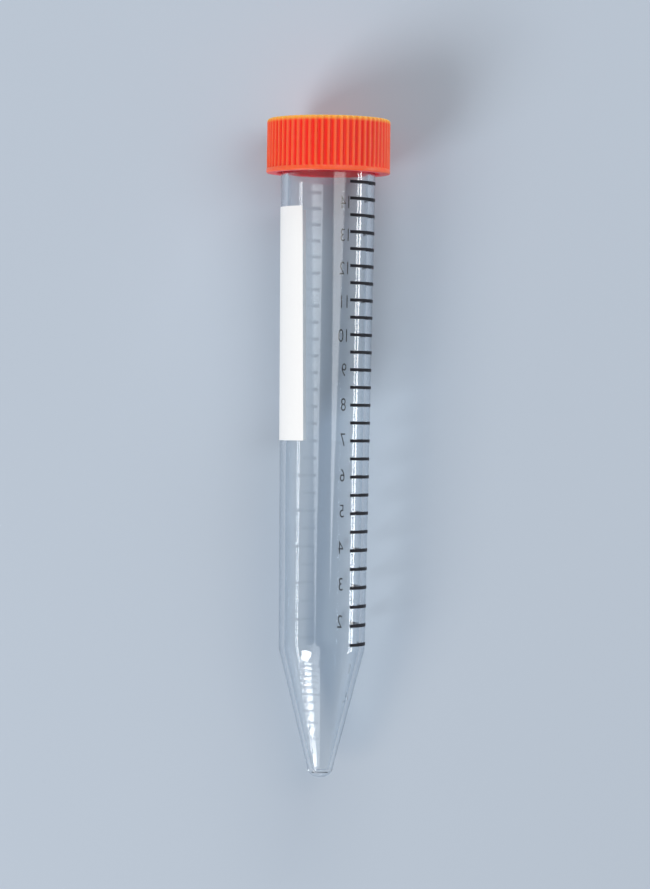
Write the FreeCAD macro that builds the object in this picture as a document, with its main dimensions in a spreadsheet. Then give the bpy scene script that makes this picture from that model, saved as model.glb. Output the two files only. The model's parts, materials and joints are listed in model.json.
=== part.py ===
import FreeCAD, Part
import os
import re
import Sketcher

# A 15 ml conical centrifuge tube with a ribbed screw cap, lying on its side, cap screwed down.
#
# Each piece is drawn upright in one common frame: the axis is Z, the tip is at z = 0 and the front
# looks along -Y. A bearing is an angle round the axis in degrees, 0 at the front and growing
# towards +X. lay_down() then puts all pieces on their side together, front up: the tube rests on
# the rim of its cap and on its own shoulder, as it does on a bench.

PARTS_FOLDER = "parts"
CUTTER_MARGIN = 1.0  # how far a cutting tool stands clear of what it cuts
SAME_PLACE = 1e-4  # how near an edge lies to the ring it is looked for by
MM3_PER_ML = 1000

# The driving dimensions: millimetres, degrees and millilitres.
SIZES = {
    # tube: one injection moulding of clear plastic
    "overall_length": (119.0, "tip to top of cap, cap screwed down"),
    "shoulder_height": (23.2, "tip to the shoulder where the cone meets the barrel"),
    "shoulder_radius": (7.8, "outside of the shoulder"),
    "barrel_radius": (8.55, "outside of the barrel at its top, where the neck starts"),
    "tip_radius": (1.9, "outside of the cone where it would meet the tip's plane"),
    "tip_round": (1.2, "rounding of the tip"),
    "shoulder_round": (1.5, "rounding of the shoulder"),
    "floor_thickness": (1.1, "plastic below the bore"),
    "bore_tip_radius": (1.5, "bore at its floor"),
    "bore_bevel": (0.6, "bevel round the bore's floor"),
    "shoulder_wall": (1.02, "wall at the shoulder"),
    "mouth_wall": (1.02, "wall of the neck at the mouth"),
    "neck_length": (8.0, "threaded neck, up to the mouth"),
    "neck_radius": (8.4, "root of the neck's thread"),
    "mouth_bevel": (0.3, "bevel that leads the sealing ring into the mouth"),
    # the neck's thread: one raised right-handed start
    "thread_depth": (0.75, "root to crest"),
    "thread_pitch": (3.0, "rise in one turn"),
    "thread_turns": (1.5, "turns"),
    "thread_start": (1.2, "start of the neck to the middle of the first turn"),
    "thread_base": (1.3, "width of the ridge at its root"),
    "thread_crest": (0.5, "width of the ridge at its crest"),
    "thread_bite": (0.3, "ridge's depth inside the neck's wall"),
    # moulded volume lines on the cone, standing proud of it
    "raised_line_width": (0.3, "width along the axis"),
    "raised_line_proud": (0.12, "height above the cone"),
    "raised_line_left": (-42.0, "bearing of the left ends"),
    "raised_short_sweep": (38.0, "angle that a short line spans"),
    "raised_long_sweep": (48.0, "angle that a long line spans"),
    # cap: one injection moulding of orange plastic
    "cap_height": (9.8, "rim to top"),
    "cap_top_thickness": (1.4, "top plate"),
    "skirt_wall": (1.5, "skirt between the thread's space and the feet of the ribs"),
    "thread_clearance": (0.15, "neck's thread to the bore of the skirt"),
    "rib_count": (60, "grip ribs"),
    "rib_height": (0.35, "rib above the skirt"),
    "rib_bite": (0.1, "rib's depth inside the skirt"),
    "rib_foot": (0.85, "width of a rib where it stands on the skirt"),
    "rib_back": (0.4, "width of a rib's back"),
    "rim_height": (0.75, "smooth rim below the ribs"),
    "rim_proud": (0.05, "rim beyond the backs of the ribs"),
    "rim_bevel": (0.2, "bevel of the rim's lower edge"),
    "edge_bevel": (0.6, "bevel of the top edge, ribs included"),
    "plug_length": (3.2, "sealing ring that goes down into the mouth"),
    "plug_wall": (0.9, "thickness of the sealing ring"),
    "plug_clearance": (0.05, "sealing ring to the bore of the mouth"),
    # print on the barrel: a white writing panel and a black scale, both slightly askew
    "ink_thickness": (0.08, "layer of ink"),
    "print_skew": (0.95, "turn of the print on the barrel"),
    "panel_gap": (6.2, "rim of the cap to the top of the panel"),
    "panel_length": (42.1, "panel along the axis"),
    "panel_edge": (3.8, "panel's front edge left of the axis, at its lower corner"),
    "line_width": (0.45, "printed line"),
    "scale_edge": (5.5, "front to the lines' left ends round the barrel, at the shoulder"),
    "scale_gap": (0.6, "least space from a printed line to the shoulder and to the cap"),
    "short_line": (9.0, "length of a half-millilitre line"),
    "long_line": (12.5, "length of a whole-millilitre line"),
    "volume_step": (0.5, "between printed lines"),
    "raised_step": (0.1, "between raised lines on the cone"),
}

# What follows from them, as formulas of a second sheet.
WORKED = {
    "cap_bottom": "overall_length - cap_height",
    "mouth_height": "overall_length - cap_top_thickness",
    "neck_start": "mouth_height - neck_length",
    "bore_shoulder_radius": "shoulder_radius - shoulder_wall",
    "bore_mouth_radius": "neck_radius - mouth_wall",
    "cone_flare": "(bore_shoulder_radius - bore_tip_radius) / (shoulder_height - floor_thickness)",
    "bore_flare": "(bore_mouth_radius - bore_shoulder_radius) / (mouth_height - shoulder_height)",
    "cone_volume": "pi / 3 * (bore_shoulder_radius^3 - bore_tip_radius^3) / cone_flare",
    "cone_taper": "(shoulder_radius - tip_radius) / shoulder_height",
    "barrel_taper": "(barrel_radius - shoulder_radius) / (neck_start - shoulder_height)",
    "thread_radius": "neck_radius + thread_depth",
    "skirt_bore": "thread_radius + thread_clearance",
    "skirt_radius": "skirt_bore + skirt_wall",
    "rib_radius": "skirt_radius + rib_height",
    "cap_radius": "rib_radius + rim_proud",
    "plug_radius": "bore_mouth_radius - plug_clearance",
    "panel_top": "cap_bottom - panel_gap",
    "panel_bottom": "panel_top - panel_length",
    "lowest_mark_radius": "bore_shoulder_radius + bore_flare * scale_gap",
    "highest_mark_radius": "bore_shoulder_radius"
                           " + bore_flare * (cap_bottom - scale_gap - shoulder_height)",
    "lowest_volume": "(cone_volume + pi / 3 * (lowest_mark_radius^3 - bore_shoulder_radius^3)"
                     f" / bore_flare) / {MM3_PER_ML}",
    "highest_volume": "(cone_volume + pi / 3 * (highest_mark_radius^3 - bore_shoulder_radius^3)"
                      f" / bore_flare) / {MM3_PER_ML}",
    "first_volume": "ceil(lowest_volume / volume_step) * volume_step",
    "last_volume": "floor(highest_volume / volume_step) * volume_step",
    "last_raised_volume": "first_volume - volume_step",
}

doc = FreeCAD.newDocument("conical_tube")


def expand(text):
    """Formula of the sheets' names, with each name given its sheet."""
    def with_sheet(match):
        word = match.group()
        sheet = "Sizes" if word in SIZES else "Worked" if word in WORKED else None
        return f"{sheet}.{word}" if sheet else word
    return re.sub(r"(?<![\w.])[a-z]\w*", with_sheet, text)


def value(text):
    """Number that a formula gives with the present sizes."""
    return float(doc.Worked.evalExpression(expand(text)))


def fill_sheets():
    """Write the driving dimensions as plain numbers, and what follows from them as formulas."""
    sizes = doc.addObject("Spreadsheet::Sheet", "Sizes")
    for row, (name, (size, meaning)) in enumerate(SIZES.items(), 1):
        sizes.set(f"A{row}", meaning)
        sizes.set(f"B{row}", str(size))
        sizes.setAlias(f"B{row}", name)
    worked = doc.addObject("Spreadsheet::Sheet", "Worked")
    for row, name in enumerate(WORKED, 1):
        worked.setAlias(f"B{row}", name)
    for row, (name, formula) in enumerate(WORKED.items(), 1):
        worked.set(f"A{row}", name)
        worked.set(f"B{row}", "=" + expand(formula))
    doc.recompute()


def volume_table(name, first, last, step):
    """Sheet of volumes in column A and the height to which each fills the bore in column B.

    The bore is two frustums, so a volume gives the radius of its surface by a cube root, and the
    radius gives the height.
    """
    table = doc.addObject("Spreadsheet::Sheet", name)
    count = round((value(last) - value(first)) / value(step)) + 1
    for row in range(1, count + 1):
        table.set(f"A{row}", "=" + expand(f"{first} + {row - 1} * {step}"))
        volume = f"{MM3_PER_ML} * {name}.A{row}"
        in_cone = (f"floor_thickness + ((bore_tip_radius^3 + 3 * cone_flare * {volume} / pi)^(1 / 3)"
                   " - bore_tip_radius) / cone_flare")
        in_barrel = (f"shoulder_height + ((bore_shoulder_radius^3 + 3 * bore_flare * ({volume}"
                     " - cone_volume) / pi)^(1 / 3) - bore_shoulder_radius) / bore_flare")
        formula = expand(f"{volume} < cone_volume ? {in_cone} : {in_barrel}")
        table.set(f"B{row}", "=" + formula.replace(f"{name}.A", "A"))
    doc.recompute()
    return table, count


def bind(item, path, text):
    """Tie a property to a formula."""
    item.setExpression(path, expand(text))


def turn(bearing, axis="0; 0; 1", height="0"):
    """Placement formula: turned round an axis, and raised along Z."""
    return (f"create(<<placement>>; create(<<vector>>; 0; 0; {height});"
            f" create(<<rotation>>; create(<<vector>>; {axis}); {bearing}))")


def start_sketch(body, name, role="XZ_Plane"):
    """Empty sketch on one of the body's own planes."""
    sketch = body.newObject("Sketcher::SketchObject", name)
    plane = next(item for item in body.Origin.OriginFeatures if item.Role == role)
    sketch.AttachmentSupport = (plane, [""])
    sketch.MapMode = "FlatFace"
    return sketch


def fix_point(sketch, side, end, across, along):
    """Hold one end of a sketch's edge at two formulas, measured from the sketch's origin."""
    for direction, text, axis in (("DistanceX", across, -2), ("DistanceY", along, -1)):
        if text == "0":
            sketch.addConstraint(Sketcher.Constraint("PointOnObject", side, end, axis))
        else:
            size = Sketcher.Constraint(direction, -1, 1, side, end, value(text))
            bind(sketch, f"Constraints[{sketch.addConstraint(size)}]", text)


def add_outline(sketch, corners, long_sides=()):
    """Add a closed outline of straight sides whose corners follow pairs of formulas.

    A long side is a straight spline of two poles: revolved, it takes a tenth of the facets of a
    long cone of the same shape.
    """
    first = sketch.GeometryCount
    places = [FreeCAD.Vector(value(across), value(along), 0) for across, along in corners]
    for number, (here, there) in enumerate(zip(places, places[1:] + places[:1])):
        side = Part.LineSegment(here, there)
        if number in long_sides:
            side = Part.BSplineCurve([here, there], None, None, False, 1, None, False)
        sketch.addGeometry(side, False)
    for number, (across, along) in enumerate(corners):
        following = first + (number + 1) % len(corners)
        sketch.addConstraint(Sketcher.Constraint("Coincident", first + number, 2, following, 1))
        fix_point(sketch, first + number, 1, across, along)


def revolve(body, name, sketch, kind="Revolution", angle="360"):
    """Turn a sketch round the body's axis, to add material or, as a Groove, to cut it."""
    turned = body.newObject(f"PartDesign::{kind}", name)
    turned.Profile = sketch
    turned.ReferenceAxis = (sketch, ["V_Axis"])
    bind(turned, "Angle", angle)
    doc.recompute()
    return turned


def treat_rings(body, name, kind, size, *rings):
    """Fillet or Chamfer the circular edges that lie at the given pairs of radius and height."""
    base = body.Tip
    edges = []
    for ring in rings:
        ring_radius, ring_height = (value(text) for text in ring)
        for number, edge in enumerate(base.Shape.Edges, 1):
            circle = edge.Curve
            if (isinstance(circle, Part.Circle)
                    and abs(circle.Radius - ring_radius) < SAME_PLACE
                    and abs(circle.Center.z - ring_height) < SAME_PLACE):
                edges.append(f"Edge{number}")
    if len(edges) != len(rings):
        raise RuntimeError(f"{name} found {len(edges)} edges for {len(rings)} rings")
    treated = body.newObject(f"PartDesign::{kind}", name)
    treated.Base = (base, edges)
    bind(treated, "Radius" if kind == "Fillet" else "Size", size)
    doc.recompute()


def make_tube():
    """Clear tube: graduated cone, tapered barrel, threaded neck, and a bore down to the tip."""
    tube = doc.addObject("PartDesign::Body", "tube")
    profile = start_sketch(tube, "TubeProfile", "YZ_Plane")
    add_outline(profile, [
        ("0", "0"),
        ("tip_radius", "0"),
        ("shoulder_radius", "shoulder_height"),
        ("barrel_radius", "neck_start"),
        ("neck_radius", "neck_start"),
        ("neck_radius", "mouth_height"),
        ("bore_mouth_radius", "mouth_height"),
        ("bore_shoulder_radius", "shoulder_height"),
        ("bore_tip_radius", "floor_thickness"),
        ("0", "floor_thickness"),
    ], long_sides=(6,))
    revolve(tube, "TubeWall", profile)
    treat_rings(tube, "TipRound", "Fillet", "tip_round", ("tip_radius", "0"))
    treat_rings(tube, "BoreBevel", "Chamfer", "bore_bevel", ("bore_tip_radius", "floor_thickness"))
    treat_rings(tube, "ShoulderRound", "Fillet", "shoulder_round",
                ("shoulder_radius", "shoulder_height"), ("bore_shoulder_radius", "shoulder_height"))
    treat_rings(tube, "MouthBevel", "Chamfer", "mouth_bevel", ("bore_mouth_radius", "mouth_height"))
    add_thread(tube)
    add_raised_lines(tube)
    return tube


def add_thread(tube):
    """Wind the raised thread round the neck."""
    ridge = start_sketch(tube, "ThreadProfile")
    middle = "neck_start + thread_start"
    root = "neck_radius - thread_bite"
    add_outline(ridge, [
        (root, f"{middle} - thread_base / 2"),
        ("thread_radius", f"{middle} - thread_crest / 2"),
        ("thread_radius", f"{middle} + thread_crest / 2"),
        (root, f"{middle} + thread_base / 2"),
    ])
    thread = tube.newObject("PartDesign::AdditiveHelix", "Thread")
    thread.Profile = ridge
    thread.ReferenceAxis = (ridge, ["V_Axis"])
    thread.Mode = "pitch-turns-angle"
    bind(thread, "Pitch", "thread_pitch")
    bind(thread, "Turns", "thread_turns")
    doc.recompute()


def add_raised_lines(tube):
    """Raise a short line on the cone for each tenth of a millilitre, longer at each half."""
    table, count = volume_table("RaisedLevels", "raised_step", "last_raised_volume", "raised_step")
    long_rows = [row for row in range(1, count + 1) if row % 5 == 0]
    short_rows = [row for row in range(1, count + 1) if row % 5]
    for name, rows, sweep in (("ShortRaisedLines", short_rows, "raised_short_sweep"),
                              ("LongRaisedLines", long_rows, "raised_long_sweep")):
        profile = start_sketch(tube, f"{name}Profile")
        bind(profile, "AttachmentOffset", turn("raised_line_left - 90", axis="0; 1; 0"))
        for row in rows:
            low = f"{table.Name}.B{row} - raised_line_width / 2"
            high = f"{table.Name}.B{row} + raised_line_width / 2"
            add_outline(profile, [
                (f"tip_radius + cone_taper * ({low}) - raised_line_proud", low),
                (f"tip_radius + cone_taper * ({low}) + raised_line_proud", low),
                (f"tip_radius + cone_taper * ({high}) + raised_line_proud", high),
                (f"tip_radius + cone_taper * ({high}) - raised_line_proud", high),
            ])
        revolve(tube, name, profile, angle=sweep)


def make_cap():
    """Orange screw cap: ribbed skirt with a smooth rim, top plate and sealing ring."""
    cap = doc.addObject("PartDesign::Body", "cap")
    profile = start_sketch(cap, "CapProfile")
    add_outline(profile, [
        ("0", "overall_length"),
        ("skirt_radius", "overall_length"),
        ("skirt_radius", "cap_bottom + rim_height"),
        ("cap_radius", "cap_bottom + rim_height"),
        ("cap_radius", "cap_bottom"),
        ("skirt_bore", "cap_bottom"),
        ("skirt_bore", "mouth_height"),
        ("plug_radius", "mouth_height"),
        ("plug_radius", "mouth_height - plug_length"),
        ("plug_radius - plug_wall", "mouth_height - plug_length"),
        ("plug_radius - plug_wall", "mouth_height"),
        ("0", "mouth_height"),
    ])
    revolve(cap, "CapShell", profile)
    treat_rings(cap, "RimBevel", "Chamfer", "rim_bevel", ("cap_radius", "cap_bottom"))
    add_ribs(cap)
    bevel_top_edge(cap)
    return cap


def add_ribs(cap):
    """Stand one tapered rib on the rim and repeat it round the skirt."""
    section = start_sketch(cap, "RibSection", "XY_Plane")
    bind(section, "AttachmentOffset.Base.z", "cap_bottom + rim_height")
    root = "skirt_radius - rib_bite"
    add_outline(section, [
        (root, "-rib_foot / 2"),
        ("rib_radius", "-rib_back / 2"),
        ("rib_radius", "rib_back / 2"),
        (root, "rib_foot / 2"),
    ])
    rib = cap.newObject("PartDesign::Pad", "Rib")
    rib.Profile = section
    bind(rib, "Length", "cap_height - rim_height")
    doc.recompute()
    ring = cap.newObject("PartDesign::PolarPattern", "RibRing")
    ring.Originals = [rib]
    ring.Axis = (section, ["N_Axis"])
    ring.Angle = 360
    bind(ring, "Occurrences", "rib_count")
    cap.Tip = ring
    doc.recompute()


def bevel_top_edge(cap):
    """Cut the skirt and the ribs back together to one bevelled top edge."""
    profile = start_sketch(cap, "TopEdgeProfile")
    side = f"rib_radius + {CUTTER_MARGIN}"
    above = f"overall_length + {CUTTER_MARGIN}"
    add_outline(profile, [
        (f"rib_radius - edge_bevel - {CUTTER_MARGIN}", above),
        (side, f"overall_length - edge_bevel - {CUTTER_MARGIN}"),
        (side, above),
    ])
    revolve(cap, "TopEdgeBevel", profile, kind="Groove")


def add_cone(name, low, high, skin, bearing="0", sweep="360"):
    """Cone with the barrel's taper between two heights, larger than the barrel by a skin."""
    cone = doc.addObject("Part::Cone", name)
    for path, height in (("Radius1", low), ("Radius2", high)):
        bind(cone, path, f"shoulder_radius + barrel_taper * ({height} - shoulder_height) + {skin}")
    bind(cone, "Height", f"({high}) - ({low})")
    bind(cone, "Angle", sweep)
    bind(cone, "Placement", turn(bearing, height=low))
    return cone


def make_panel(barrel):
    """White writing panel: a skin of ink on the left of the barrel, its front edge askew."""
    blank = add_cone("PanelBlank", "panel_bottom", "panel_top", "ink_thickness")
    window = doc.addObject("Part::Box", "PanelWindow")
    reach = f"(barrel_radius + ink_thickness + {CUTTER_MARGIN})"
    bind(window, "Length", reach)
    bind(window, "Width", f"2 * {reach}")
    bind(window, "Height", f"panel_length + 2 * {CUTTER_MARGIN}")
    bind(window, "Placement", (
        f"create(<<placement>>; create(<<vector>>; -panel_edge; {reach};"
        f" panel_bottom - {CUTTER_MARGIN}); create(<<rotation>>; 180; print_skew; 0))"))
    field = doc.addObject("Part::Common", "PanelField")
    field.Base = blank
    field.Tool = window
    panel = doc.addObject("Part::Cut", "marking_panel")
    panel.Base = field
    panel.Tool = barrel
    return panel


def make_scale(barrel):
    """Black volume lines: slices of a cone one layer of ink larger than the barrel, less the barrel.

    Each line lies where its volume fills the bore. The left ends keep in one line that runs askew.
    """
    table, count = volume_table("ScaleLevels", "first_volume", "last_volume", "volume_step")
    slices = []
    for row in range(1, count + 1):
        level = f"{table.Name}.B{row}"
        whole = table.get(f"A{row}") % 1 == 0
        radius = f"(shoulder_radius + barrel_taper * ({level} - shoulder_height))"
        left = f"(scale_edge - ({level} - shoulder_height) * tan(print_skew)) / {radius}"
        length = "long_line" if whole else "short_line"
        slices.append(add_cone(f"Line{row:02d}", f"{level} - line_width / 2",
                               f"{level} + line_width / 2", "ink_thickness",
                               bearing=f"{left} * 180 / pi - 90",
                               sweep=f"{length} / {radius} * 180 / pi"))
    stack = doc.addObject("Part::Compound", "LineSlices")
    stack.Links = slices
    marks = doc.addObject("Part::Cut", "graduation_marks")
    marks.Base = stack
    marks.Tool = barrel
    return marks


def lay_down(pieces):
    """Lay the pieces on their side: front up, cap's rim and shoulder on z = 0, box centred on Z."""
    tilt = value("atan((cap_radius - shoulder_radius) / (cap_bottom + rim_bevel - shoulder_height))")
    lying = FreeCAD.Rotation(FreeCAD.Vector(1, 0, 0), tilt - 90)
    box = FreeCAD.BoundBox()
    for piece in pieces:
        shape = piece.Shape.copy()
        shape.Placement = FreeCAD.Placement(FreeCAD.Vector(), lying)
        box.add(shape.optimalBoundingBox(False))
    shift = FreeCAD.Vector(-box.Center.x, -box.Center.y, -box.ZMin)
    for piece in pieces:
        piece.Placement = FreeCAD.Placement(shift, lying)
    doc.recompute()


def check():
    """Stop if any object of the document failed or any piece isn't sound."""
    for item in doc.Objects:
        if {"Invalid", "Error"} & set(item.State):
            raise RuntimeError(f"{item.Label} failed: {item.State}")
    for piece in PIECES:
        if piece.Shape.isNull() or not piece.Shape.isValid():
            raise RuntimeError(f"{piece.Label} has no sound shape")


fill_sheets()
barrel_core = add_cone("BarrelCore", "shoulder_height", "neck_start", "0", bearing="90")
PIECES = [make_tube(), make_cap(), make_panel(barrel_core), make_scale(barrel_core)]
doc.recompute()
lay_down(PIECES)
check()
os.makedirs(PARTS_FOLDER, exist_ok=True)
for piece in PIECES:
    piece.Shape.exportStep(f"{PARTS_FOLDER}/{piece.Label}.step")
    print(piece.Label, len(piece.Shape.Solids), "solids", round(piece.Shape.Volume, 2), "mm3")
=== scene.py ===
import json
import math

import bmesh
import bpy
from mathutils import Matrix, Vector


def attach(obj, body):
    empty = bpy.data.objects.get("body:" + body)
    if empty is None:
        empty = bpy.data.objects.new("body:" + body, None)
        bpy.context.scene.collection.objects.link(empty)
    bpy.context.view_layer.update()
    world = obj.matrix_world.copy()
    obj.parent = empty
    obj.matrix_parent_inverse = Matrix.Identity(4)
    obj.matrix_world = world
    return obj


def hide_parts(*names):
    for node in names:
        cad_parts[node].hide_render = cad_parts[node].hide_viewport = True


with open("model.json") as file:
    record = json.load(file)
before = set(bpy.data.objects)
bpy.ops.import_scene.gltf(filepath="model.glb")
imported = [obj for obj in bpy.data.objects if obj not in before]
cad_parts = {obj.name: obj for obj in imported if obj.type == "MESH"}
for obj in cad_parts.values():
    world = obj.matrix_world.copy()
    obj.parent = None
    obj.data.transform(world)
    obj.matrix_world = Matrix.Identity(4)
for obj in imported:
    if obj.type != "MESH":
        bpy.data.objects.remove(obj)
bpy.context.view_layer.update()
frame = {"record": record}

# Sizes in millimetres, heights from the tip of the upright tube, bearings in degrees from its
# front and growing to the right.
MM = 0.001
LENGTH = 119.0
NEAR = 0.01                        # a point this near a wall lies on it

# The tube: one moulding of clear plastic.
TIP_RADIUS = 1.9
TIP_ROUND = 1.7
SHOULDER_RADIUS = 7.8
SHOULDER_HEIGHT = 23.2
SHOULDER_ROUND = 1.5
BARREL_RADIUS = 8.55
NECK_RADIUS = 8.4
NECK_LENGTH = 8.0
LIP_ROUND = 0.3
SHOULDER_WALL = 1.02
MOUTH_WALL = 1.02
FLOOR_THICKNESS = 1.1
BORE_TIP_RADIUS = 1.5
BORE_ROUND = 0.8
SUPPORT = 0.5                      # extra row beside a bend, which keeps long walls straight
TUBE_STEPS = 180                   # a row of faces every two degrees
NECK_ROWS = 64                     # rows that shape the neck's thread

# Threads: the neck's ridge, and the cap's half a pitch below it. A ridge starts at a height above
# the neck's foot, turn_on and turns are counted in turns, and base and crest are its widths.
THREAD_PITCH = 3.0
NECK_THREAD = {"start": 1.2, "turn_on": 0.0, "turns": 1.5, "depth": 0.75, "base": 1.3, "crest": 0.5}
CAP_THREAD = {"start": -0.3, "turn_on": 0.5, "turns": 1.2, "depth": 0.6, "base": 1.1, "crest": 0.4}
THREAD_FADE = 0.08                 # share of a turn in which a ridge rises from nothing

# The cap: one moulding of orange plastic.
CAP_HEIGHT = 9.8
CAP_TOP = 1.4
SKIRT_BORE = 9.3
SKIRT_RADIUS = 10.8
RIB_RADIUS = 11.15
RIB_COUNT = 60
RIB_STEPS = 12                     # steps round the cap in one rib and its valley
RIB_FOOT = 0.85                    # width of a rib where it stands on the skirt
RIB_BACK = 0.2                     # width of the flat top of a rib's back
RIM_RADIUS = 11.2
RIM_HEIGHT = 0.75
RIM_ROUND = 0.2
EDGE_ROUND = 0.6
PLUG_RADIUS = 7.33
PLUG_WALL = 0.9
PLUG_LENGTH = 3.2
PLUG_ROUND = 0.3
GATE_RADIUS = 1.1
GATE_DEPTH = 0.15
BORE_ROWS = 50                     # rows that shape the cap's thread

# Raised lines and figures on the cone.
RAISED_LINE_WIDTH = 0.4            # across the foot of its round section
RAISED_LINE_PROUD = 0.12
RAISED_LINE_FADE = 3.0             # degrees in which a line's end sinks into the cone
RAISED_LEFT = -42.0
RAISED_SHORT = 38.0
RAISED_LONG = 48.0
RAISED_FIGURE_HEIGHT = 1.9
RAISED_FIGURE_BEARING = 45.0
RAISED_FIGURE_DROP = 0.7           # middle of a figure below its line
RAISED_FIGURE_LIFT = 0.005         # keeps the backs of the figures off the wall
RAISED_FIGURES = {".5": 0.5, "1": 1.0}

# Print on the barrel.
INK_THICKNESS = 0.08
INK_BITE = 0.02                    # ink's grip in the plastic, so that the two are one surface
PRINT_SKEW = 0.95                  # degrees by which the print runs askew
PANEL_GAP = 6.2                    # from the cap down to the panel
PANEL_LENGTH = 42.1
PANEL_EDGE = 3.8                   # front edge, to the left of the middle
LINE_WIDTH = 0.55
SCALE_EDGE = 5.5                   # left ends of the lines, to the right of the middle
SHORT_LINE = 9.0
LONG_LINE = 12.5
FIRST_VOLUME = 1.5
LAST_VOLUME = 14.5
FIGURE_HEIGHT = 2.4
FIGURE_WIDTH = 0.76                # share of the typeface's own width
FIGURE_THINNING = 0.03             # taken off each side of a stroke
FIGURE_SHARE = 0.7                 # height of a figure in a typeface of size 1
FIGURE_CUTS = 7                    # upright cuts that let a figure bend
FIGURE_MERGE = 0.002               # points of a figure this near each other are one
FIGURE_BEARING = 148.5             # left edge

CAP_BOTTOM = LENGTH - CAP_HEIGHT
MOUTH_HEIGHT = LENGTH - CAP_TOP
NECK_START = MOUTH_HEIGHT - NECK_LENGTH
RIM_TOP = CAP_BOTTOM + RIM_HEIGHT
BORE_SHOULDER = SHOULDER_RADIUS - SHOULDER_WALL
BORE_MOUTH = NECK_RADIUS - MOUTH_WALL
CONE_TAPER = (SHOULDER_RADIUS - TIP_RADIUS) / SHOULDER_HEIGHT
BARREL_TAPER = (BARREL_RADIUS - SHOULDER_RADIUS) / (NECK_START - SHOULDER_HEIGHT)
CONE_FLARE = (BORE_SHOULDER - BORE_TIP_RADIUS) / (SHOULDER_HEIGHT - FLOOR_THICKNESS)
BORE_FLARE = (BORE_MOUTH - BORE_SHOULDER) / (MOUTH_HEIGHT - SHOULDER_HEIGHT)
PANEL_TOP = CAP_BOTTOM - PANEL_GAP
PANEL_BOTTOM = PANEL_TOP - PANEL_LENGTH

# Colours of the cap, and the heights or radii between which its parts take them on. The valleys'
# deeper red is painted shade.
CAP_VALLEY_SHADE = (0.93, 0.02, 0.01)
CAP_RIM = (0.93, 0.14, 0.05)
# Painted glow: the inside and the underside of the cap are lighter and pinker, as if light shone
# through the skirt.
CAP_INSIDE_GLOW = (0.96, 0.05, 0.07)
CAP_PROUD = (0.96, 0.14, 0.045)
# Painted highlight along the cap's rounded top edge.
CAP_EDGE_HIGHLIGHT = (0.98, 0.48, 0.08)
CAP_PATCH = (0.8, 0.03, 0.01)
PLATE_HEIGHTS = (LENGTH - 0.5, LENGTH - 0.1)
HIGHLIGHT_HEIGHTS = (LENGTH - 0.9, LENGTH - 0.3)
HIGHLIGHT_RADII = (10.3, 10.7)
RIM_HEIGHTS = (RIM_TOP + 0.1, RIM_TOP - 0.05)
UNDER_GLOW_HEIGHTS = (CAP_BOTTOM + 0.2, CAP_BOTTOM + 0.02)
INNER_GLOW_RADII = (SKIRT_BORE + 0.6, SKIRT_BORE + 0.2)

# Other colours, where each pair is what a surface varies between.
CLEAR_COLOURS = ((0.96, 0.985, 1.0), (0.985, 0.995, 1.0))
# Painted shade for the clear plastic where it is seen edge on, also in its shadow.
CLEAR_EDGE_SHADE = (0.42, 0.52, 0.63)
WHITE_COLOURS = ((0.92, 0.92, 0.915), (0.95, 0.95, 0.945))
BLACK_COLOURS = ((0.006, 0.006, 0.01), (0.016, 0.016, 0.022))
FLOOR_COLOUR = (0.5, 0.57, 0.66)
WORLD_COLOUR = (0.9, 0.91, 0.93)
WORLD_STRENGTH = 0.28
FLOOR_REACH = 4.0                  # metres each way

# Camera, in the upright tube's millimetres.
CAMERA_DISTANCE = 635.0
CAMERA_SIDE = 0.1
CAMERA_HEIGHT = 65.5
AIM_HEIGHT = 60.2
CAMERA_LEAN = 0.8                  # degrees
FRAME_HEIGHT = 161.0               # of the picture, at the tube


# ---------------------------------------------------------------- places

def laid_down():
    """Matrix that takes the upright tube in millimetres to where it lies in the frame."""
    top = next(mount for mount in frame["record"]["mounts"] if mount["name"] == "cap_top")
    along = Vector(top["axis"]).normalized()
    across = Vector((1, 0, 0))
    turned = Matrix((across, along.cross(across), along)).transposed().to_4x4()
    tip = Vector(top["pos_m"]) - along * LENGTH * MM
    return Matrix.Translation(tip) @ turned @ Matrix.Scale(MM, 4)


LYING = laid_down()


def bearing_of(place):
    """Bearing of a point of the upright tube."""
    return math.degrees(math.atan2(place.x, -place.y))


def radius_of(place):
    """Distance of a point from the tube's axis."""
    return math.hypot(place.x, place.y)


def around(radius, bearing, height):
    """Point of the upright tube at a radius, a bearing and a height."""
    turn = math.radians(bearing)
    return Vector((radius * math.sin(turn), -radius * math.cos(turn), height))


def barrel_radius(height):
    """Outside of the barrel at a height."""
    return SHOULDER_RADIUS + BARREL_TAPER * (height - SHOULDER_HEIGHT)


def cone_radius(height):
    """Outside of the cone at a height."""
    return TIP_RADIUS + CONE_TAPER * height


def level(millilitres):
    """Height to which a volume fills the bore: the bore is two frustums, one above the other."""
    volume = 1000 * millilitres
    cone = math.pi / 3 * (BORE_SHOULDER ** 3 - BORE_TIP_RADIUS ** 3) / CONE_FLARE
    if volume < cone:
        surface = (BORE_TIP_RADIUS ** 3 + 3 * CONE_FLARE * volume / math.pi) ** (1 / 3)
        return FLOOR_THICKNESS + (surface - BORE_TIP_RADIUS) / CONE_FLARE
    surface = (BORE_SHOULDER ** 3 + 3 * BORE_FLARE * (volume - cone) / math.pi) ** (1 / 3)
    return SHOULDER_HEIGHT + (surface - BORE_SHOULDER) / BORE_FLARE


# ---------------------------------------------------------------- mesh tools

def add_wire(bm, corners):
    """Add an outline through pairs of radius and height, and return its sides."""
    verts = [bm.verts.new((radius, 0, height)) for radius, height in corners]
    return [bm.edges.new(pair) for pair in zip(verts, verts[1:])]


def round_corner(bm, place, radius, segments=4):
    """Turn the corner of an outline at a radius and height into an arc."""
    wanted = Vector((place[0], 0, place[1]))
    corner = min(bm.verts, key=lambda vert: (vert.co - wanted).length)
    first, second = (edge.other_vert(corner).co - corner.co for edge in corner.link_edges)
    reach = radius / math.tan(first.angle(second) / 2)
    bmesh.ops.bevel(bm, geom=[corner], offset=reach, offset_type="OFFSET", segments=segments,
                    profile=0.5, affect="VERTICES", material=-1)


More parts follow.
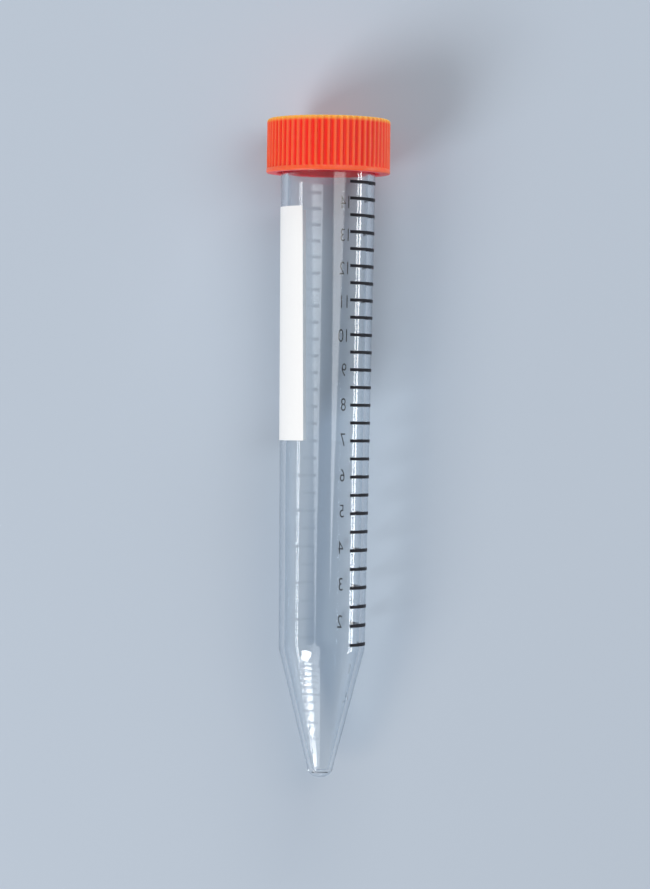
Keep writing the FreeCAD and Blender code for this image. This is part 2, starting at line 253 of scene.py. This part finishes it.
def cut_side(bm, side, heights):
    """Divide one side of an outline at the given heights."""
    pieces = [*side.verts, side]
    for height in heights:
        cut = bmesh.ops.bisect_plane(bm, geom=pieces, dist=1e-5, plane_co=(0, 0, height),
                                     plane_no=(0, 0, 1))
        pieces = cut["geom"]


def turn_round(bm, steps):
    """Spin an outline round the axis into one closed body."""
    bmesh.ops.spin(bm, geom=bm.verts[:] + bm.edges[:], cent=(0, 0, 0), axis=(0, 0, 1),
                   angle=math.tau, steps=steps, use_merge=True)
    bmesh.ops.remove_doubles(bm, verts=bm.verts, dist=1e-4)
    bmesh.ops.recalc_face_normals(bm, faces=bm.faces)


def move_radius(vert, radius):
    """Bring a point of a turned body to another radius."""
    scale = radius / radius_of(vert.co)
    vert.co.x *= scale
    vert.co.y *= scale


def smooth_step(share):
    """Soft rise from 0 to 1."""
    share = min(max(share, 0), 1)
    return share * share * (3 - 2 * share)


def ridge_at(place, thread):
    """Height of a thread's ridge over its root at a place on the wall that carries it."""
    turn = math.atan2(place.y, place.x) / math.tau % 1
    height = 0
    for lap in range(3):
        along = turn + lap - thread["turn_on"]
        if 0 <= along <= thread["turns"]:
            middle = NECK_START + thread["start"] + THREAD_PITCH * (turn + lap)
            inside = thread["base"] / 2 - abs(place.z - middle)
            flank = smooth_step(inside / ((thread["base"] - thread["crest"]) / 2))
            end = smooth_step(min(along, thread["turns"] - along) / THREAD_FADE)
            height = max(height, thread["depth"] * flank * end)
    return height


def finish_piece(name, bm, material, body, node=None, sharp=40):
    """Lay a shape down in the frame, shade it, give it its material, slot and body, and hide the
    CAD node that it stands in for.
    """
    for face in bm.faces:
        face.smooth = True
    for edge in bm.edges:
        edge.smooth = edge.calc_face_angle(0) < math.radians(sharp)
    bmesh.ops.transform(bm, matrix=LYING, verts=bm.verts)
    mesh = bpy.data.meshes.new(name)
    bm.to_mesh(mesh)
    bm.free()
    mesh.materials.append(material)
    piece = bpy.data.objects.new(name, mesh)
    bpy.context.scene.collection.objects.link(piece)
    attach(piece, body)
    if node:
        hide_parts(node)
    return piece


# ---------------------------------------------------------------- tube

def tube_outline(bm):
    """Outline of the wall, from the tip's middle up the outside and down the bore."""
    tip = (TIP_RADIUS, 0)
    shoulder = (SHOULDER_RADIUS, SHOULDER_HEIGHT)
    lip = (NECK_RADIUS, MOUTH_HEIGHT)
    mouth = (BORE_MOUTH, MOUTH_HEIGHT)
    bore_shoulder = (BORE_SHOULDER, SHOULDER_HEIGHT)
    bore_tip = (BORE_TIP_RADIUS, FLOOR_THICKNESS)
    sides = add_wire(bm, [
        (0, 0),
        tip,
        shoulder,
        (BARREL_RADIUS, NECK_START),
        (NECK_RADIUS, NECK_START),
        lip,
        mouth,
        bore_shoulder,
        bore_tip,
        (0, FLOOR_THICKNESS),
    ])
    _, cone, barrel, _, neck, _, bore, bore_cone, _ = sides
    bmesh.ops.subdivide_edges(bm, edges=[neck], cuts=NECK_ROWS)
    cut_side(bm, cone, [TIP_ROUND * 2, *raised_rows(), SHOULDER_HEIGHT - SUPPORT])
    cut_side(bm, barrel, [SHOULDER_HEIGHT + SUPPORT, NECK_START - SUPPORT])
    cut_side(bm, bore, [SHOULDER_HEIGHT + SUPPORT, MOUTH_HEIGHT - 2 * SUPPORT])
    cut_side(bm, bore_cone, [FLOOR_THICKNESS + 2 * BORE_ROUND, SHOULDER_HEIGHT - SUPPORT])
    round_corner(bm, tip, TIP_ROUND, 8)
    round_corner(bm, shoulder, SHOULDER_ROUND, 3)
    round_corner(bm, lip, LIP_ROUND)
    round_corner(bm, mouth, LIP_ROUND)
    round_corner(bm, bore_shoulder, SHOULDER_ROUND, 3)
    round_corner(bm, bore_tip, BORE_ROUND, 6)


def raised_levels():
    """Heights of the raised lines, with the sweep of each: longer at each half millilitre."""
    count = round(10 * (FIRST_VOLUME - 0.5))
    return [(level(tenth / 10), RAISED_LONG if tenth % 5 == 0 else RAISED_SHORT)
            for tenth in range(1, count + 1)]


def raised_rows():
    """Heights of the rows in the cone's wall that shape the raised lines."""
    steps = [RAISED_LINE_WIDTH * (row / 6 - 0.5) for row in range(7)]
    return [height + step for height, _ in raised_levels() for step in steps]


def line_rise(place, line):
    """Height of a raised line over the cone at a place: a round back that sinks at both ends."""
    height, sweep = line
    swept = bearing_of(place) - RAISED_LEFT
    across = 2 * abs(place.z - height) / RAISED_LINE_WIDTH
    end = min(swept, sweep - swept) / RAISED_LINE_FADE
    return RAISED_LINE_PROUD * smooth_step(1 - across) * smooth_step(end)


def raise_lines(bm):
    """Push the raised lines out of the cone's wall."""
    lines = raised_levels()
    slack = 10 * NEAR
    for vert in bm.verts:
        wall = cone_radius(vert.co.z)
        if vert.co.z < SHOULDER_HEIGHT and abs(radius_of(vert.co) - wall) < slack:
            rise = max(line_rise(vert.co, line) for line in lines)
            if rise:
                move_radius(vert, wall + rise)


def wind_neck_thread(bm):
    """Push the neck's wall out along the thread."""
    for vert in bm.verts:
        on_neck = abs(radius_of(vert.co) - NECK_RADIUS) < NEAR
        if on_neck and vert.co.z > NECK_START + NEAR:
            move_radius(vert, NECK_RADIUS + ridge_at(vert.co, NECK_THREAD))


def make_tube(material):
    """Clear tube: rounded tip, graduated cone, tapered barrel and threaded neck, all one wall."""
    bm = bmesh.new()
    tube_outline(bm)
    turn_round(bm, TUBE_STEPS)
    raise_lines(bm)
    wind_neck_thread(bm)
    return finish_piece("clear_tube", bm, material, "tube", "tube")


# ---------------------------------------------------------------- cap

def cap_outline(bm):
    """Outline of the cap, from the top's middle down the outside and up inside to the plate."""
    top_edge = (RIB_RADIUS, LENGTH)
    rim = (RIM_RADIUS, CAP_BOTTOM)
    rim_inside = (SKIRT_BORE, CAP_BOTTOM)
    plug_outside = (PLUG_RADIUS, MOUTH_HEIGHT - PLUG_LENGTH)
    plug_inside = (PLUG_RADIUS - PLUG_WALL, MOUTH_HEIGHT - PLUG_LENGTH)
    sides = add_wire(bm, [
        (0, LENGTH - GATE_DEPTH),
        (GATE_RADIUS, LENGTH - GATE_DEPTH),
        (GATE_RADIUS + GATE_DEPTH, LENGTH),
        top_edge,
        (RIB_RADIUS, RIM_TOP),
        (RIM_RADIUS, RIM_TOP - RIM_ROUND / 2),
        rim,
        rim_inside,
        (SKIRT_BORE, MOUTH_HEIGHT),
        (PLUG_RADIUS, MOUTH_HEIGHT),
        plug_outside,
        plug_inside,
        (PLUG_RADIUS - PLUG_WALL, MOUTH_HEIGHT),
        (0, MOUTH_HEIGHT),
    ])
    _, _, _, ribs, _, _, _, bore, *_ = sides
    bmesh.ops.subdivide_edges(bm, edges=[bore], cuts=BORE_ROWS)
    cut_side(bm, ribs, [RIM_TOP + RIM_ROUND, RIM_TOP + 3 * RIM_ROUND, LENGTH - 2 * EDGE_ROUND])
    round_corner(bm, top_edge, EDGE_ROUND, 8)
    round_corner(bm, rim, RIM_ROUND)
    round_corner(bm, rim_inside, RIM_ROUND)
    round_corner(bm, plug_outside, PLUG_ROUND)
    round_corner(bm, plug_inside, PLUG_ROUND)


def rib_back(bearing):
    """Height of the ribs above the valleys at a bearing, as a share: soft flanks, flat valleys."""
    pitch = math.tau * SKIRT_RADIUS / RIB_COUNT
    across = pitch * abs((bearing / 360 * RIB_COUNT + 0.5) % 1 - 0.5)
    return smooth_step((RIB_FOOT / 2 - across) / ((RIB_FOOT - RIB_BACK) / 2))


def press_valleys(bm):
    """Press the valleys between the ribs into the skirt, top edge included."""
    for vert in bm.verts:
        if vert.co.z > RIM_TOP + RIM_ROUND / 2 and radius_of(vert.co) > SKIRT_BORE + 1:
            rib = RIB_RADIUS - SKIRT_RADIUS
            limit = SKIRT_RADIUS + rib * rib_back(bearing_of(vert.co))
            move_radius(vert, min(radius_of(vert.co), limit))


def wind_cap_thread(bm):
    """Push the skirt's bore in along the thread."""
    for vert in bm.verts:
        if abs(radius_of(vert.co) - SKIRT_BORE) < NEAR:
            move_radius(vert, SKIRT_BORE - ridge_at(vert.co, CAP_THREAD))


def make_cap(material):
    """Orange screw cap: ribbed skirt on a smooth rim, top plate, sealing ring and thread."""
    bm = bmesh.new()
    cap_outline(bm)
    turn_round(bm, RIB_COUNT * RIB_STEPS)
    press_valleys(bm)
    wind_cap_thread(bm)
    return finish_piece("screw_cap", bm, material, "cap", "cap")


# ---------------------------------------------------------------- print

def add_ink(bm, left, right, low, high, columns, rows):
    """Add a layer of ink on the barrel between two edges, each a bearing for every height."""
    grid = bmesh.ops.create_grid(bm, x_segments=columns, y_segments=rows, size=0.5)
    for vert in grid["verts"]:
        height = low + (high - low) * (vert.co.y + 0.5)
        bearing = left(height) + (right(height) - left(height)) * (vert.co.x + 0.5)
        vert.co = around(barrel_radius(height) - INK_BITE, bearing, height)
    faces = list({face for vert in grid["verts"] for face in vert.link_faces})
    thicken(bm, faces, INK_THICKNESS)


def thicken(bm, faces, thickness):
    """Give a sheet wrapped on the tube its thickness, outwards, with faces pointing out."""
    raised = bmesh.ops.extrude_face_region(bm, geom=faces, use_keep_orig=True)
    for vert in raised["geom"]:
        if isinstance(vert, bmesh.types.BMVert):
            move_radius(vert, radius_of(vert.co) + thickness)
    bmesh.ops.recalc_face_normals(bm, faces=bm.faces)


def panel_front(height):
    """Bearing of the panel's front edge, which runs slightly askew."""
    left = PANEL_EDGE + (height - PANEL_BOTTOM) * math.tan(math.radians(PRINT_SKEW))
    return -math.degrees(math.asin(left / barrel_radius(height)))


def make_panel(material):
    """White writing panel, wrapped round the left of the barrel."""
    bm = bmesh.new()
    add_ink(bm, lambda height: -180 - panel_front(height), panel_front,
            PANEL_BOTTOM, PANEL_TOP, columns=60, rows=30)
    return finish_piece("white_panel", bm, material, "tube", "marking_panel")


def line_left(height):
    """Bearing of the printed lines' left ends, which keep in one line that runs askew."""
    across = SCALE_EDGE - (height - SHOULDER_HEIGHT) * math.tan(math.radians(PRINT_SKEW))
    return math.degrees(across / barrel_radius(height))


def make_lines(material):
    """Black lines of the scale, longer at each whole millilitre."""
    bm = bmesh.new()
    for half in range(round(2 * FIRST_VOLUME), round(2 * LAST_VOLUME) + 1):
        height = level(half / 2)
        length = SHORT_LINE if half % 2 else LONG_LINE
        left = line_left(height)
        right = left + math.degrees(length / barrel_radius(height))
        add_ink(bm, lambda _: left, lambda _: right, height - LINE_WIDTH / 2,
                height + LINE_WIDTH / 2, columns=48, rows=1)
    return finish_piece("scale_lines", bm, material, "tube", "graduation_marks")


def figure_outline(text, height):
    """Typed figures of a given height as a flat mesh."""
    curve = bpy.data.curves.new("figure", "FONT")
    curve.body = text
    curve.size = height / FIGURE_SHARE
    curve.offset = -FIGURE_THINNING
    curve.align_x = "LEFT"
    curve.align_y = "CENTER"
    holder = bpy.data.objects.new("figure", curve)
    mesh = bpy.data.meshes.new_from_object(holder)
    bm = bmesh.new()
    bm.from_mesh(mesh)
    bpy.data.objects.remove(holder)
    bpy.data.curves.remove(curve)
    bpy.data.meshes.remove(mesh)
    return bm


def flat_figure(text, height):
    """Flat figures, narrowed, to the right of the origin, and cut fine enough to bend."""
    bm = figure_outline(text, height)
    bmesh.ops.remove_doubles(bm, verts=bm.verts, dist=1e-5)
    start = min(vert.co.x for vert in bm.verts)
    for vert in bm.verts:
        vert.co.x = (vert.co.x - start) * FIGURE_WIDTH
    reach = max(vert.co.x for vert in bm.verts)
    for step in range(1, FIGURE_CUTS + 1):
        across = reach * step / (FIGURE_CUTS + 1)
        bmesh.ops.bisect_plane(bm, geom=bm.verts[:] + bm.edges[:] + bm.faces[:], dist=1e-4,
                               plane_co=(across, 0, 0), plane_no=(1, 0, 0))
    bmesh.ops.remove_doubles(bm, verts=bm.verts, dist=FIGURE_MERGE)
    bmesh.ops.dissolve_degenerate(bm, edges=bm.edges, dist=FIGURE_MERGE)
    return bm


def add_figure(bm, text, size, wall, bearing, height, bite, thickness):
    """Wrap a figure round the tube, read from outside, and give it its thickness."""
    flat = flat_figure(text, size)
    for vert in flat.verts:
        up = height + vert.co.y
        turn = bearing + math.degrees(vert.co.x / wall(height))
        vert.co = around(wall(up) - bite, turn, up)
    thicken(flat, flat.faces[:], thickness)
    mesh = bpy.data.meshes.new("figure")
    flat.to_mesh(mesh)
    flat.free()
    bm.from_mesh(mesh)
    bpy.data.meshes.remove(mesh)


def make_figures(material):
    """Printed figures at the whole millilitres, round the right of the barrel."""
    bm = bmesh.new()
    for millilitres in range(2, int(LAST_VOLUME) + 1):
        add_figure(bm, str(millilitres), FIGURE_HEIGHT, barrel_radius, FIGURE_BEARING,
                   level(millilitres), INK_BITE, INK_THICKNESS)
    return finish_piece("scale_figures", bm, material, "tube", sharp=30)


def make_raised_figures(material):
    """Figures moulded on the cone, beside the half and the whole millilitre."""
    bm = bmesh.new()
    for text, millilitres in RAISED_FIGURES.items():
        add_figure(bm, text, RAISED_FIGURE_HEIGHT, cone_radius, RAISED_FIGURE_BEARING,
                   level(millilitres) - RAISED_FIGURE_DROP, -RAISED_FIGURE_LIFT,
                   RAISED_LINE_PROUD)
    return finish_piece("raised_figures", bm, material, "tube", sharp=30)


# ---------------------------------------------------------------- finishes

def add_node(tree, kind, place, **values):
    """Add a shader node, and set its inputs by name or its own settings."""
    node = tree.nodes.new(kind)
    node.location = place
    for name, setting in values.items():
        socket = node.inputs.get(name.replace("_", " "))
        if socket is None:
            setattr(node, name, setting)
        else:
            socket.default_value = setting
    return node


def surface_group():
    """Group for the slight unevenness that every moulded or printed surface has."""
    group = bpy.data.node_groups.new("surface_unevenness", "ShaderNodeTree")
    sockets = group.interface
    sockets.new_socket("Fineness", in_out="INPUT", socket_type="NodeSocketFloat")
    sockets.new_socket("Depth", in_out="INPUT", socket_type="NodeSocketFloat")
    sockets.new_socket("Mask", in_out="OUTPUT", socket_type="NodeSocketFloat")
    sockets.new_socket("Normal", in_out="OUTPUT", socket_type="NodeSocketVector")
    start = add_node(group, "NodeGroupInput", (-600, 0))
    place = add_node(group, "ShaderNodeTexCoord", (-600, -200))
    noise = add_node(group, "ShaderNodeTexNoise", (-350, 0), Detail=3.0, Roughness=0.55)
    bump = add_node(group, "ShaderNodeBump", (-100, -150), Strength=1.0)
    end = add_node(group, "NodeGroupOutput", (150, 0))
    group.links.new(place.outputs["Object"], noise.inputs["Vector"])
    group.links.new(start.outputs["Fineness"], noise.inputs["Scale"])
    group.links.new(noise.outputs["Fac"], bump.inputs["Height"])
    group.links.new(start.outputs["Depth"], bump.inputs["Distance"])
    group.links.new(noise.outputs["Fac"], end.inputs["Mask"])
    group.links.new(bump.outputs["Normal"], end.inputs["Normal"])
    return group


def start_material(name):
    """Material with an empty tree but for its output and one main shader."""
    material = bpy.data.materials.new(name)
    material.use_nodes = True
    tree = material.node_tree
    tree.nodes.clear()
    output = add_node(tree, "ShaderNodeOutputMaterial", (700, 0))
    shader = add_node(tree, "ShaderNodeBsdfPrincipled", (200, 0))
    tree.links.new(shader.outputs["BSDF"], output.inputs["Surface"])
    return material, tree, shader, output


def add_unevenness(tree, shader, group, fineness, depth, smooth, rough):
    """Let the unevenness drive a shader's normal and its roughness, and return its mask."""
    uneven = add_node(tree, "ShaderNodeGroup", (-500, -200), node_tree=group)
    uneven.inputs["Fineness"].default_value = fineness
    uneven.inputs["Depth"].default_value = depth
    gloss = add_node(tree, "ShaderNodeMapRange", (-200, -100), From_Min=0.3, From_Max=0.7,
                     To_Min=smooth, To_Max=rough)
    tree.links.new(uneven.outputs["Mask"], gloss.inputs["Value"])
    tree.links.new(gloss.outputs["Result"], shader.inputs["Roughness"])
    tree.links.new(uneven.outputs["Normal"], shader.inputs["Normal"])
    return uneven.outputs["Mask"]


def blend(tree, mask, first, second, place=(-200, 200)):
    """Blend of two colours by a mask; either colour may be another blend."""
    node = add_node(tree, "ShaderNodeMix", place, data_type="RGBA")
    tree.links.new(mask, node.inputs["Factor"])
    sockets = [socket for socket in node.inputs if socket.type == "RGBA"]
    for socket, colour in zip(sockets, (first, second)):
        if isinstance(colour, tuple):
            socket.default_value = (*colour, 1)
        else:
            tree.links.new(colour, socket)
    return next(socket for socket in node.outputs if socket.type == "RGBA")


def blend_colours(tree, shader, mask, first, second):
    """Vary a shader's colour between two by a mask."""
    tree.links.new(blend(tree, mask, first, second), shader.inputs["Base Color"])


def add_ramp(tree, value, start, end, place, most=1.0):
    """Mask that rises from nothing between two values."""
    ramp = add_node(tree, "ShaderNodeMapRange", place, From_Min=start, From_Max=end, To_Max=most)
    tree.links.new(value, ramp.inputs["Value"])
    return ramp.outputs["Result"]


def combine(tree, operation, first, second, place):
    """Mask made of two others."""
    node = add_node(tree, "ShaderNodeMath", place, operation=operation)
    tree.links.new(first, node.inputs[0])
    tree.links.new(second, node.inputs[1])
    return node.outputs["Value"]


def tube_place(tree):
    """Radius and height of the shaded point, in millimetres of the upright tube."""
    tip, turned, _ = LYING.decompose()
    place = add_node(tree, "ShaderNodeTexCoord", (-1900, 300))
    upright = add_node(tree, "ShaderNodeMapping", (-1700, 300), vector_type="TEXTURE",
                       Location=tip, Rotation=turned.to_euler(), Scale=(MM, MM, MM))
    parts = add_node(tree, "ShaderNodeSeparateXYZ", (-1500, 100))
    flat = add_node(tree, "ShaderNodeVectorMath", (-1500, 400), operation="MULTIPLY")
    flat.inputs[1].default_value = (1, 1, 0)
    radius = add_node(tree, "ShaderNodeVectorMath", (-1300, 400), operation="LENGTH")
    tree.links.new(place.outputs["Object"], upright.inputs["Vector"])
    tree.links.new(upright.outputs["Vector"], parts.inputs["Vector"])
    tree.links.new(upright.outputs["Vector"], flat.inputs[0])
    tree.links.new(flat.outputs["Vector"], radius.inputs[0])
    return radius.outputs["Value"], parts.outputs["Z"]


def clear_plastic(group):
    """Clear polished plastic that lets the lamps through, with painted shade that makes it deeper
    where it is seen edge on and darkens the edges of its shadow.
    """
    material, tree, shader, output = start_material("clear_plastic")
    shader.inputs["Transmission Weight"].default_value = 1.0
    shader.inputs["IOR"].default_value = 1.57
    mask = add_unevenness(tree, shader, group, 140.0, 0.000004, 0.01, 0.04)
    # Painted shade: the colour and the shadow's tint darken towards the silhouettes.
    facing = add_node(tree, "ShaderNodeLayerWeight", (-900, 500), Blend=0.5)
    edge = add_ramp(tree, facing.outputs["Facing"], 0.3, 0.85, (-700, 500))
    flat = blend(tree, mask, *CLEAR_COLOURS, (-450, 400))
    colour = blend(tree, edge, flat, CLEAR_EDGE_SHADE)
    tree.links.new(colour, shader.inputs["Base Color"])
    path = add_node(tree, "ShaderNodeLightPath", (-100, 700))
    lit = combine(tree, "MAXIMUM", path.outputs["Is Shadow Ray"], path.outputs["Is Diffuse Ray"],
                  (200, 400))
    through = add_node(tree, "ShaderNodeBsdfTransparent", (200, -600))
    tree.links.new(colour, through.inputs["Color"])
    either = add_node(tree, "ShaderNodeMixShader", (480, 0))
    tree.links.new(lit, either.inputs["Fac"])
    tree.links.new(shader.outputs["BSDF"], either.inputs[1])
    tree.links.new(through.outputs["BSDF"], either.inputs[2])
    tree.links.new(either.outputs["Shader"], output.inputs["Surface"])
    return material


def cap_colour(tree, unevenness):
    """Orange with painted shade that makes the valleys deeper, a painted glow that makes the inside
    pinker, and a painted highlight that makes the thin top edge lighter.
    """
    radius, height = tube_place(tree)
    rib = add_ramp(tree, radius, SKIRT_RADIUS, RIB_RADIUS, (-1100, 500))
    plate = add_ramp(tree, height, *PLATE_HEIGHTS, (-1100, 250))
    rim = add_ramp(tree, height, *RIM_HEIGHTS, (-1100, 0))
    top = add_ramp(tree, height, *HIGHLIGHT_HEIGHTS, (-1100, -250))
    outer = add_ramp(tree, radius, *HIGHLIGHT_RADII, (-1100, -500))
    under = add_ramp(tree, height, *UNDER_GLOW_HEIGHTS, (-1100, -750))
    inner = add_ramp(tree, radius, *INNER_GLOW_RADII, (-1100, -1000))
    patchy = add_ramp(tree, unevenness, 0.4, 0.8, (-600, 700), 0.15)
    edge = combine(tree, "MULTIPLY", top, outer, (-850, -350))
    inside = combine(tree, "MAXIMUM", under, inner, (-850, -850))
    proud = combine(tree, "MAXIMUM", rib, plate, (-850, 400))
    # Painted shade: the valleys between the ribs are a deeper red than the rim, the rib backs and
    # the top.
    colour = blend(tree, rim, CAP_VALLEY_SHADE, CAP_RIM, (-600, 400))
    # Painted glow on the underside and inside the cap.
    colour = blend(tree, inside, colour, CAP_INSIDE_GLOW, (-450, 400))
    colour = blend(tree, proud, colour, CAP_PROUD, (-300, 400))
    # Painted highlight: the rounded top edge turns a lighter yellow-orange.
    colour = blend(tree, edge, colour, CAP_EDGE_HIGHLIGHT, (-150, 400))
    return blend(tree, patchy, colour, CAP_PATCH, (0, 400))


def cap_plastic(group):
    """Orange moulding, satin and slightly translucent."""
    material, tree, shader, _ = start_material("cap_plastic")
    shader.inputs["Subsurface Weight"].default_value = 0.6
    shader.inputs["Subsurface Radius"].default_value = (1.0, 0.25, 0.08)
    shader.inputs["Subsurface Scale"].default_value = 0.0016
    shader.inputs["IOR"].default_value = 1.5
    shader.inputs["Specular IOR Level"].default_value = 0.35
    unevenness = add_unevenness(tree, shader, group, 700.0, 0.00001, 0.3, 0.42)
    tree.links.new(cap_colour(tree, unevenness), shader.inputs["Base Color"])
    return material


def white_ink(group):
    """Opaque white ink with a dry surface that takes a pencil."""
    material, tree, shader, _ = start_material("white_ink")
    mask = add_unevenness(tree, shader, group, 1800.0, 0.000008, 0.7, 0.85)
    blend_colours(tree, shader, mask, *WHITE_COLOURS)
    return material


def black_ink(group):
    """Opaque black ink, slightly thinner in places."""
    material, tree, shader, _ = start_material("black_ink")
    shader.inputs["Specular IOR Level"].default_value = 0.15
    mask = add_unevenness(tree, shader, group, 2200.0, 0.000005, 0.4, 0.6)
    blend_colours(tree, shader, mask, *BLACK_COLOURS)
    return material


# ---------------------------------------------------------------- studio

def make_floor():
    """Plain pale floor, much larger than the tube."""
    bm = bmesh.new()
    bmesh.ops.create_grid(bm, x_segments=1, y_segments=1, size=FLOOR_REACH)
    mesh = bpy.data.meshes.new("floor")
    bm.to_mesh(mesh)
    bm.free()
    floor = bpy.data.objects.new("floor", mesh)
    bpy.context.scene.collection.objects.link(floor)
    material, tree, shader, _ = start_material("pale_floor")
    shader.inputs["Base Color"].default_value = (*FLOOR_COLOUR, 1)
    shader.inputs["Roughness"].default_value = 0.6
    mesh.materials.append(material)


def make_world():
    """Even soft light from all round."""
    world = bpy.data.worlds.new("studio")
    world.use_nodes = True
    background = world.node_tree.nodes["Background"]
    background.inputs["Color"].default_value = (*WORLD_COLOUR, 1)
    background.inputs["Strength"].default_value = WORLD_STRENGTH
    bpy.context.scene.world = world


def add_lamp(name, place, size, power, aim=(0, 0, 0.01)):
    """Soft rectangular lamp in metres, aimed at the tube."""
    light = bpy.data.lights.new(name, "AREA")
    light.shape = "RECTANGLE"
    light.size, light.size_y = size
    light.energy = power
    lamp = bpy.data.objects.new(name, light)
    lamp.location = place
    lamp.rotation_euler = (Vector(place) - Vector(aim)).to_track_quat("Z", "Y").to_euler()
    bpy.context.scene.collection.objects.link(lamp)


def make_lamps():
    """Key and fill from above, and low lamps that draw the walls, the cap's edge and the lines."""
    add_lamp("key", (-0.75, -0.53, 0.69), (0.45, 0.45), 8.0)
    add_lamp("fill", (0.5, 0.3, 0.95), (0.7, 0.7), 3.2)
    add_lamp("back", (0.1, 0.75, 0.28), (0.5, 0.15), 2.2)
    add_lamp("low", (-0.5, -0.68, 0.2), (0.4, 0.12), 1.0)
    add_lamp("strip", (0.8, 0.0, 0.045), (0.7, 0.07), 1.8)


def make_camera():
    """Camera straight in front of the tube, low enough to see a little under the cap."""
    eye = Vector((CAMERA_SIDE, -CAMERA_DISTANCE, CAMERA_HEIGHT))
    aim = Vector((CAMERA_SIDE, 0, AIM_HEIGHT))
    lean = math.radians(CAMERA_LEAN)
    back = (LYING.to_3x3() @ (eye - aim)).normalized()
    up = LYING.to_3x3() @ Vector((-math.sin(lean), 0, math.cos(lean)))
    right = up.cross(back).normalized()
    camera = bpy.data.objects.new("camera", bpy.data.cameras.new("camera"))
    camera.matrix_world = (Matrix.Translation(LYING @ eye)
                           @ Matrix((right, back.cross(right), back)).transposed().to_4x4())
    camera.data.angle = 2 * math.atan(FRAME_HEIGHT / 2 / CAMERA_DISTANCE)
    camera.data.clip_start = 0.01
    bpy.context.scene.collection.objects.link(camera)
    bpy.context.scene.camera = camera


unevenness = surface_group()
clear = clear_plastic(unevenness)
black = black_ink(unevenness)
make_tube(clear)
make_raised_figures(clear)
make_cap(cap_plastic(unevenness))
make_panel(white_ink(unevenness))
make_lines(black)
make_figures(black)
make_floor()
make_world()
make_lamps()
make_camera()
bpy.context.scene.view_settings.view_transform = "Standard"
